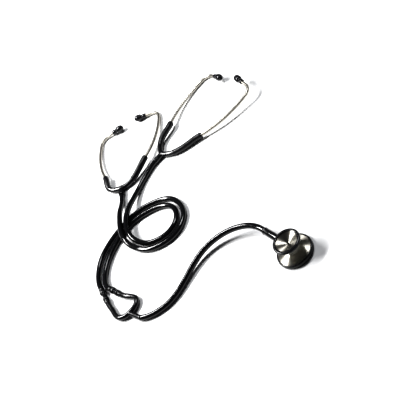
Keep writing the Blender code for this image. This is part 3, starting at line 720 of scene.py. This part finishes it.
# Soft black silicone with a faint bloom of dust in its grain.
SOFT_SILICONE = handled_finish(
    "soft_silicone", (0.012, 0.012, 0.014), 0.3, (260.0, 0.14, 0.26),
    [((1, 1, 1), 3200.0, 0.00002)], IOR=1.43)
for label, (end, outward) in EAR_ENDS.items():
    flange = rounded([(0.9, 0.3, 0), (2.5, 0.3, 0.15), (2.5, 1.8, 0.3), (1.95, 1.8, 0.1), (1.95, 4.2, 0),
                      (1.6, 4.6, 0.2), (1.6, 5.4, 0.2), (1.95, 6.0, 0.2), (1.95, 9.6, 0), (1.5, 10.5, 0.4),
                      (0.9, 10.5, 0.1)])
    make_piece(label + "_turned_nozzle", turned(flange, placed(end, outward), 48), [SATIN_CHROME],
               label + "_ear_tube", [label + "_nozzle"])
    mushroom = rounded([(2.3, 2.1, 0.1), (3.7, 2.1, 0.5), (3.95, 4.2, 1.2), (3.9, 6.6, 0.8),
                        (3.35, 8.4, 1.2), (3.5, 9.6, 0.9), (5.0, 11.3, 1.6), (5.45, 14.6, 2.4),
                        (5.3, 18.0, 2.4), (4.1, 21.2, 2.0), (1.9, 22.3, 0.9), (1.1, 21.6, 0.3),
                        (1.1, 11.5, 0), (2.3, 11.5, 0.1)])
    make_piece(label + "_silicone_tip", turned(mushroom, placed(end, outward), 56), [SOFT_SILICONE],
               label + "_ear_tip", [label + "_ear_tip"], sharp=50)

# -------------------------------------------------------------- lower yoke, connectors, lock rings
# The two long hoses end in ball-grip connectors, which plug into the mouths of a moulded wishbone
# and are held there by a ring. The wishbone's trunk goes into the single hose.

RIGHT_CONNECTOR = (RIGHT_HOSE[-1], (-168.1, -26.8, 5))
LEFT_CONNECTOR = (LEFT_HOSE[-1], (-187.6, -20.4, 5))
WISHBONE = [RIGHT_CONNECTOR[1], (-163.6, -38, 4.8), (-156.5, -49, 4.5), (-153, -58, 4.5),
            (-156.6, -65.4, 4.5), (-164, -69.4, 4.6), (-172, -70.2, 4.7), (-180, -68.2, 4.6),
            (-186.4, -62.4, 4.5), (-188.8, -53.5, 4.5), (-188.4, -42, 4.5), (-188.6, -31, 4.8),
            LEFT_CONNECTOR[1]]
WISHBONE_TRUNK = [(-172, -70.2, 4.7), (-171.6, -79, 4.6), (-168.2, -87.2, 4.5), (-163, -91.9, 4.3)]
WISHBONE_RADIUS = 3.85
WISHBONE_LIP = 4.55
SOCKET_RADIUS = 2.65


def wishbone():
    line = smooth_line(on_table(WISHBONE), LINE_STEP)
    whole = line_length(line)
    lip = [(0, WISHBONE_LIP - 0.4), (0.4, WISHBONE_LIP), (2.4, WISHBONE_LIP), (2.9, WISHBONE_LIP - 0.35),
           (3.2, WISHBONE_RADIUS)]
    walk = lip + [(distance, WISHBONE_RADIUS + 0.3 * math.exp(-((distance - whole * 0.5) / 9) ** 2))
                  for distance in even(4, whole - 4, 0.9)]
    walk += [(whole - distance, radius) for distance, radius in reversed(lip)]
    trunk = smooth_line(on_table(WISHBONE_TRUNK), LINE_STEP)
    foot = line_length(trunk)
    stub = [(0, 3.9), (foot - 0.5, 4.0), (foot, 3.7)]
    sockets = []
    for hose_end, mouth in (RIGHT_CONNECTOR, LEFT_CONNECTOR):
        start, end = on_table([hose_end, mouth])
        outline = rounded([(0, -2, 0), (SOCKET_RADIUS, -2, 0), (SOCKET_RADIUS, 9, 0.3), (0, 9, 0)])
        sockets.append(turned(outline, placed(end, end - start), 48))
    bm = moulded([bent(line, walk, 40), bent(trunk, stub, 40)], 8, sockets)
    make_piece("lower_yoke_moulding", bm, [MOULDED_VINYL], "frame", ["lower_yoke"], sharp=50)


def ball_connector(name, ends):
    start, mouth = on_table(ends)
    length = (mouth - start).length
    place = placed(start, mouth - start)
    outline = rounded([(0, 0.5, 0), (3.5, 0.5, 0.3), (4.2, 1.5, 0.8), (4.85, 3.0, 1.2), (5.0, 5.0, 1.6),
                       (4.8, 7.0, 1.4), (4.1, 8.4, 0.8), (3.1, 9.1, 0.4), (3.0, 9.6, 0.4),
                       (3.0, length - 0.5, 0.2), (2.35, length - 0.5, 0.1), (2.35, length + 6.6, 0.4),
                       (1.9, length + 7.5, 0.3), (1.3, length + 7.5, 0.1), (1.3, 0.5, 0.1)][1:])
    make_piece(name + "_ball_connector", turned(outline, place, 64), [GLOSS_MOULDING], "frame",
               [name + "_connector"])
    ring = rounded([(3.3, length - 5.6, 0.1), (4.1, length - 5.6, 0.3), (4.5, length - 4.6, 0.3),
                    (4.5, length - 2.6, 0.3), (4.1, length - 1.6, 0.3), (3.3, length - 1.6, 0.1)])
    make_piece(name + "_rubber_ring", turned(ring, place, 64), [SOFT_SILICONE], "frame",
               [name + "_lock_ring"])


# Hard glossy black plastic with the finest of moulding ripples.
GLOSS_MOULDING = handled_finish(
    "gloss_moulding", (0.011, 0.011, 0.0125), 0.12, (200.0, 0.09, 0.2),
    [((1, 1, 1), 420.0, 0.00003)], IOR=1.5)
wishbone()
ball_connector("right_hose", RIGHT_CONNECTOR)
ball_connector("left_hose", LEFT_CONNECTOR)

# -------------------------------------------------------------------- barbs of the hoses' fittings
# Each headset trunk, the wishbone's trunk and both connectors end in a barbed nipple, which is
# moulded with them and grips the bore of the hose that is pushed over it.


def hose_barb(name, end, inwards):
    """A barbed nipple from a fitting's face into the hose."""
    outline = rounded([(1.2, -0.45, 0), (2.0, -0.45, 0), (2.0, 3.4, 0.1), (2.05, 3.6, 0), (1.75, 6.4, 0),
                       (2.05, 6.6, 0), (1.6, BARB_LENGTH - 1, 0.2), (1.2, BARB_LENGTH - 1, 0.1)])
    make_piece(name, turned(outline, placed(end, inwards), 32), [GLOSS_MOULDING], "frame")


for barb_name, stops in (("left_headset", LEFT_HOSE), ("right_headset", RIGHT_HOSE),
                         ("lower_yoke", SINGLE_HOSE)):
    end, inside_hose = on_table(stops[:2])
    hose_barb(barb_name + "_trunk_barb", end, inside_hose - end)
for barb_name, stops in (("left_hose_connector", LEFT_HOSE), ("right_hose_connector", RIGHT_HOSE)):
    inside_hose, end = on_table(stops[-2:])
    hose_barb(barb_name + "_barb", end, inside_hose - end)

# ------------------------------------------------------------------------------ stem and its sleeve
# A turned steel tube carries the chestpiece. Its barb is pushed into a thick moulded sleeve, which
# also takes the end of the hose.

STEM_AT, STEM_ALONG = joint_line("chest_head_turn")
STEM_PLACE = placed(STEM_AT, STEM_ALONG)
DETENT_AT = 6.0            # where the ball's pocket is, from the chestpiece's middle
SLEEVE_START = 24.5
SLEEVE_END = 52.0


def turning_marks_effect():
    """Height and mask of the fine grooves that a lathe leaves round a piece's own Z axis."""
    group, given, result = effect(
        "turning_marks",
        [("Position", "NodeSocketVector", None), ("Scale", "NodeSocketFloat", 6000.0)],
        [("Height", "NodeSocketFloat"), ("Mask", "NodeSocketFloat")])
    flat = group.nodes.new("ShaderNodeVectorMath")
    flat.operation = "MULTIPLY"
    flat.inputs[1].default_value = (1, 1, 0)
    radius = group.nodes.new("ShaderNodeVectorMath")
    radius.operation = "LENGTH"
    split = group.nodes.new("ShaderNodeSeparateXYZ")
    total = group.nodes.new("ShaderNodeMath")
    total.operation = "ADD"
    noise = group.nodes.new("ShaderNodeTexNoise")
    noise.noise_dimensions = "1D"
    noise.inputs["Detail"].default_value = 3
    coarse = group.nodes.new("ShaderNodeTexNoise")
    coarse.noise_dimensions = "1D"
    coarse.inputs["Scale"].default_value = 900.0
    links = group.links
    links.new(given.outputs["Position"], flat.inputs[0])
    links.new(flat.outputs[0], radius.inputs[0])
    links.new(given.outputs["Position"], split.inputs[0])
    links.new(radius.outputs["Value"], total.inputs[0])
    links.new(split.outputs["Z"], total.inputs[1])
    links.new(total.outputs[0], noise.inputs["W"])
    links.new(given.outputs["Scale"], noise.inputs["Scale"])
    links.new(total.outputs[0], coarse.inputs["W"])
    links.new(noise.outputs["Fac"], result.inputs["Height"])
    links.new(coarse.outputs["Fac"], result.inputs["Mask"])
    return group


TURNING_MARKS = turning_marks_effect()


def turned_steel():
    """Stainless steel as it comes off the lathe: the grooves draw each light into a fan."""
    material, shader = new_finish("turned_steel", (0.38, 0.365, 0.325), 0.34, Metallic=1.0,
                                  Anisotropic=1.0, Anisotropic_Rotation=0.25)
    nodes, links = material.node_tree.nodes, material.node_tree.links
    where = made_at(material)
    grooves = use_effect(material, TURNING_MARKS, where, Scale=7000.0)
    add_bump(material, shader, grooves.outputs["Height"], 0.000006)
    tint = nodes.new("ShaderNodeMixRGB")
    tint.inputs["Color1"].default_value = (0.34, 0.325, 0.285, 1)
    tint.inputs["Color2"].default_value = (0.44, 0.425, 0.385, 1)
    links.new(grooves.outputs["Mask"], tint.inputs["Fac"])
    links.new(tint.outputs["Color"], shader.inputs["Base Color"])
    marks = use_effect(material, HANDLING, where, Scale=130.0, Clean=0.31, Touched=0.36)
    links.new(marks.outputs["Value"], shader.inputs["Roughness"])
    run = nodes.new("ShaderNodeAttribute")
    run.attribute_name = "machined"
    to_world = nodes.new("ShaderNodeVectorTransform")
    to_world.vector_type = "VECTOR"
    to_world.convert_from = "OBJECT"
    to_world.convert_to = "WORLD"
    links.new(run.outputs["Vector"], to_world.inputs["Vector"])
    links.new(to_world.outputs["Vector"], shader.inputs["Tangent"])
    return material


TURNED_STEEL = turned_steel()


def stem():
    outline = rounded([(0.8, -4.8, 0), (2.5, -4.8, 0.3), (3.0, -4.3, 0.3), (3.0, 11.4, 0.05), (2.5, 11.4, 0),
                       (2.5, 12.6, 0), (3.0, 12.6, 0.05), (3.0, 22.0, 0.3), (4.4, 22.3, 0.4),
                       (4.4, 24.2, 0.2), (2.6, 24.2, 0.1), (2.6, 33, 0), (3.1, 33.2, 0.1), (2.5, 37, 0),
                       (2.5, 38, 0), (3.1, 38.2, 0.1), (2.6, 44, 0.2), (0.8, 44, 0.1)])
    bm = turned(outline, STEM_PLACE, 64)
    pocket = turned(rounded([(0, 0, 0), (1.3, 0, 0), (1.3, 6, 0), (0, 6, 0)]),
                    placed(STEM_AT + STEM_ALONG * DETENT_AT, UP), 32)
    make_piece("turned_stem", shaped(blank_object(bm), [(pocket, "DIFFERENCE")]), [TURNED_STEEL], "frame",
               ["stem"])


def stem_sleeve():
    end = SLEEVE_END
    outline = rounded([(2.2, end, 0.1), (4.6, end, 0.3), (5.05, end - 0.5, 0.4), (5.05, end - 2.0, 0.4),
                       (4.6, end - 2.5, 0.3), (4.75, end - 6, 1.5), (4.95, 38, 3), (5.0, 28, 3),
                       (4.95, SLEEVE_START + 0.8, 0.6), (4.5, SLEEVE_START, 0.4), (3.5, SLEEVE_START, 0.1),
                       (3.5, 45, 0.1), (2.2, 45, 0.1)])
    make_piece("moulded_stem_sleeve", turned(outline, STEM_PLACE, 64), [GLOSS_MOULDING], "frame",
               ["stem_sleeve"])


stem()
stem_sleeve()

# ------------------------------------------------------------------------------- chestpiece body
# One piece of turned steel: a shallow housing over the diaphragm, a neck, and a boss that is bored
# for the stem. A groove in the bore holds the ball of the detent.

CHEST_CENTRE = Vector((STEM_AT.x, STEM_AT.y, 0))
CHEST_PLACE = Matrix.Translation(CHEST_CENTRE)
HEAD = "chest_head"


def chestpiece_body():
    outline = rounded([(0, 5.0, 0), (20.4, 3.8, 0.2), (20.4, 3.2, 0.1), (22.3, 3.2, 0.2), (22.3, 5.5, 0.3),
                       (21.6, 6.1, 0.5), (16.0, 7.9, 3.0), (11.2, 9.4, 2.0), (10.0, 9.9, 0.4),
                       (9.7, 10.1, 0.2), (9.7, 11.3, 0.3), (9.0, 11.5, 0.15), (8.8, 11.9, 0.15),
                       (8.8, 13.0, 0.05), (8.6, 13.2, 0.05), (8.8, 13.4, 0.05), (8.8, 19.7, 0.3),
                       (8.5, 20.0, 0.2), (0, 20.0, 0)])
    bm = turned(outline, CHEST_PLACE, 128)
    boss = turned(rounded([(0, 3, 0), (5.6, 3, 0), (5.6, 12.5, 0.4), (5.1, 13.0, 0.3), (0, 13.0, 0)]),
                  STEM_PLACE, 96)
    bore = turned(rounded([(0, -5.4, 0), (3.3, -5.4, 0), (3.3, 4.7, 0), (3.85, 4.7, 0), (3.85, 7.3, 0),
                           (3.3, 7.3, 0), (3.3, 11.0, 0), (4.6, 11.0, 0), (4.6, 14.0, 0), (0, 14.0, 0)]),
                  STEM_PLACE, 72)
    seat = turned(rounded([(0, 17.9, 0), (4.8, 17.9, 0), (4.8, 21, 0), (0, 21, 0)]), CHEST_PLACE, 64)
    channel = turned(rounded([(0, 3, 0), (1.2, 3, 0), (1.2, 18.5, 0), (0, 18.5, 0)]), CHEST_PLACE, 32)
    body = shaped(blank_object(bm), [(boss, "UNION"), (bore, "DIFFERENCE"), (seat, "DIFFERENCE"),
                                     (channel, "DIFFERENCE")])
    make_piece("turned_chestpiece_body", body, [TURNED_STEEL], HEAD, ["chestpiece_body"], sharp=30)


chestpiece_body()

# ----------------------------------------------------------------------------------- bell and ring
# The bell is a turned steel cone with a sound hole at its point. A black anti-chill ring of rubber
# is stretched over its lip, so that cold metal doesn't touch the skin.


def bell():
    cup = rounded([(1.2, 18.2, 0.1), (4.5, 18.2, 0.2), (4.5, 20.3, 0.1), (7.8, 20.3, 0.3), (8.6, 20.9, 0.5),
                   (12.2, 22.3, 2.0), (15.7, 23.4, 1.0), (16.6, 24.3, 0.3), (16.6, 26.0, 0.1),
                   (15.4, 26.4, 0.3), (14.9, 26.1, 0.3), (8.0, 23.3, 2.0), (1.9, 20.95, 0.4),
                   (1.2, 20.3, 0.3)])
    make_piece("turned_bell_cup", turned(cup, CHEST_PLACE, 160), [TURNED_STEEL], HEAD, ["bell_cup"],
               sharp=40)
    ring = rounded([(16.95, 23.4, 0.1), (17.7, 23.4, 0.5), (18.5, 24.3, 0.8), (18.5, 26.2, 0.8),
                    (17.9, 27.1, 0.5), (16.7, 27.5, 0.6), (15.2, 27.3, 0.5), (14.4, 26.75, 0.25),
                    (14.7, 26.45, 0.15), (15.4, 26.7, 0.1), (16.95, 26.4, 0.1)])
    make_piece("rubber_bell_ring", turned(ring, CHEST_PLACE, 160), [RING_RUBBER], HEAD, ["bell_ring"],
               sharp=50)


# Semi-gloss black rubber with a light bloom.
RING_RUBBER = handled_finish(
    "ring_rubber", (0.01, 0.01, 0.011), 0.26, (110.0, 0.2, 0.3),
    [((1, 1, 1), 2600.0, 0.000018)], Specular_IOR_Level=0.3)
bell()

# ------------------------------------------------------------------------- diaphragm and its rim
# A stiff resin-and-glass disc lies on a thin gasket, and a black rim screws over the housing to
# hold it. The rim is what the chestpiece rests on.


def diaphragm():
    rim = rounded([(20.9, 0.3, 0.1), (21.2, 0.0, 0.15), (23.4, 0.0, 0.5), (24.3, 0.7, 0.7), (24.5, 1.8, 0.5),
                   (24.5, 4.8, 0.6), (24.2, 5.8, 0.5), (23.4, 6.3, 0.4), (22.6, 6.3, 0.2), (22.6, 1.2, 0.1),
                   (20.9, 1.2, 0.1)])
    make_piece("rubber_diaphragm_rim", turned(rim, CHEST_PLACE, 192), [RING_RUBBER], HEAD,
               ["diaphragm_rim"], sharp=50)
    disc = rounded([(0, 1.5, 0), (22.2, 1.5, 0.1), (22.2, 1.9, 0.1), (0, 1.9, 0)])
    make_piece("resin_diaphragm", turned(disc, CHEST_PLACE, 96), [RESIN_GLASS], HEAD, ["diaphragm"])
    gasket = rounded([(20.6, 2.2, 0.15), (22.1, 2.2, 0.15), (22.1, 2.9, 0.15), (20.6, 2.9, 0.15)])
    make_piece("rubber_gasket", turned(gasket, CHEST_PLACE, 96), [SOFT_SILICONE], HEAD,
               ["diaphragm_gasket"])


def resin_glass():
    """Pale resin sheet in which the woven glass shows faintly."""
    material, shader = new_finish("resin_glass", (0.71, 0.72, 0.68), 0.3, IOR=1.52)
    nodes, links = material.node_tree.nodes, material.node_tree.links
    where = object_position(material)
    threads = []
    for direction in ("X", "Y"):
        wave = nodes.new("ShaderNodeTexWave")
        wave.bands_direction = direction
        wave.inputs["Scale"].default_value = 420.0
        wave.inputs["Distortion"].default_value = 0.6
        links.new(where, wave.inputs["Vector"])
        threads.append(wave.outputs["Fac"])
    cross = nodes.new("ShaderNodeMath")
    cross.operation = "MULTIPLY"
    links.new(threads[0], cross.inputs[0])
    links.new(threads[1], cross.inputs[1])
    tint = nodes.new("ShaderNodeMixRGB")
    tint.inputs["Color1"].default_value = (0.66, 0.67, 0.62, 1)
    tint.inputs["Color2"].default_value = (0.78, 0.79, 0.76, 1)
    links.new(cross.outputs[0], tint.inputs["Fac"])
    links.new(tint.outputs["Color"], shader.inputs["Base Color"])
    add_bump(material, shader, cross.outputs[0], 0.00002)
    return material


RESIN_GLASS = resin_glass()
diaphragm()

# ---------------------------------------------------------- springs, clip and ball inside the object
# Blued spring steel and a hardened ball. The leaf springs, the retaining clip in the stem's groove
# and the detent's ball keep their CAD shapes; the detent's coil is a cone that can be pressed flat.


def spring_steel():
    """Spring steel with faint heat colours and rolling marks."""
    material, shader = new_finish("spring_steel", (0.40, 0.41, 0.43), 0.3, Metallic=1.0)
    nodes, links = material.node_tree.nodes, material.node_tree.links
    where = object_position(material)
    marks = use_effect(material, HANDLING, where, Scale=400.0, Clean=0.24, Touched=0.4)
    links.new(marks.outputs["Value"], shader.inputs["Roughness"])
    heat = use_effect(material, FINE_GRAIN, where, Scale=300.0)
    tint = nodes.new("ShaderNodeMixRGB")
    tint.inputs["Color1"].default_value = (0.34, 0.36, 0.42, 1)
    tint.inputs["Color2"].default_value = (0.47, 0.45, 0.41, 1)
    links.new(heat.outputs["Height"], tint.inputs["Fac"])
    links.new(tint.outputs["Color"], shader.inputs["Base Color"])
    grain = use_effect(material, FINE_GRAIN, where, Scale=4000.0)
    add_bump(material, shader, grain.outputs["Height"], 0.000006)
    return material


SPRING_STEEL = spring_steel()
COIL_TURNS = 3
COIL_FOOT = 0.43           # above the stem's axis, on the bottom of the ball's pocket
COIL_HEIGHT = 0.85
COIL_RADII = (0.98, 0.36)  # at the foot and at the top, so that the turns nest when it is pressed
COIL_WIRE_RADIUS = 0.1
COIL_WIRE_STEP = 0.15
COIL_STEPS = 60

coil_foot = STEM_AT + STEM_ALONG * DETENT_AT + UP * COIL_FOOT
coil = []
for step in range(COIL_STEPS + 1):
    rise = step / COIL_STEPS
    around = math.tau * COIL_TURNS * rise
    radius = COIL_RADII[0] + (COIL_RADII[1] - COIL_RADII[0]) * rise
    coil.append(coil_foot + Vector((math.cos(around), math.sin(around), 0)) * radius
                + UP * COIL_HEIGHT * rise)
wire = bent(coil, [(distance, COIL_WIRE_RADIUS)
                   for distance in even(0, line_length(coil), COIL_WIRE_STEP)], 8)
spring = make_piece("wound_detent_spring", wire, [SPRING_STEEL], None, ["detent_spring"])
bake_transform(spring)
for node_name in ("left_headset_leaf_spring", "right_headset_leaf_spring", "retaining_clip",
                  "detent_ball"):
    for material_slot in frame["nodes"][node_name].material_slots:
        material_slot.material = SPRING_STEEL
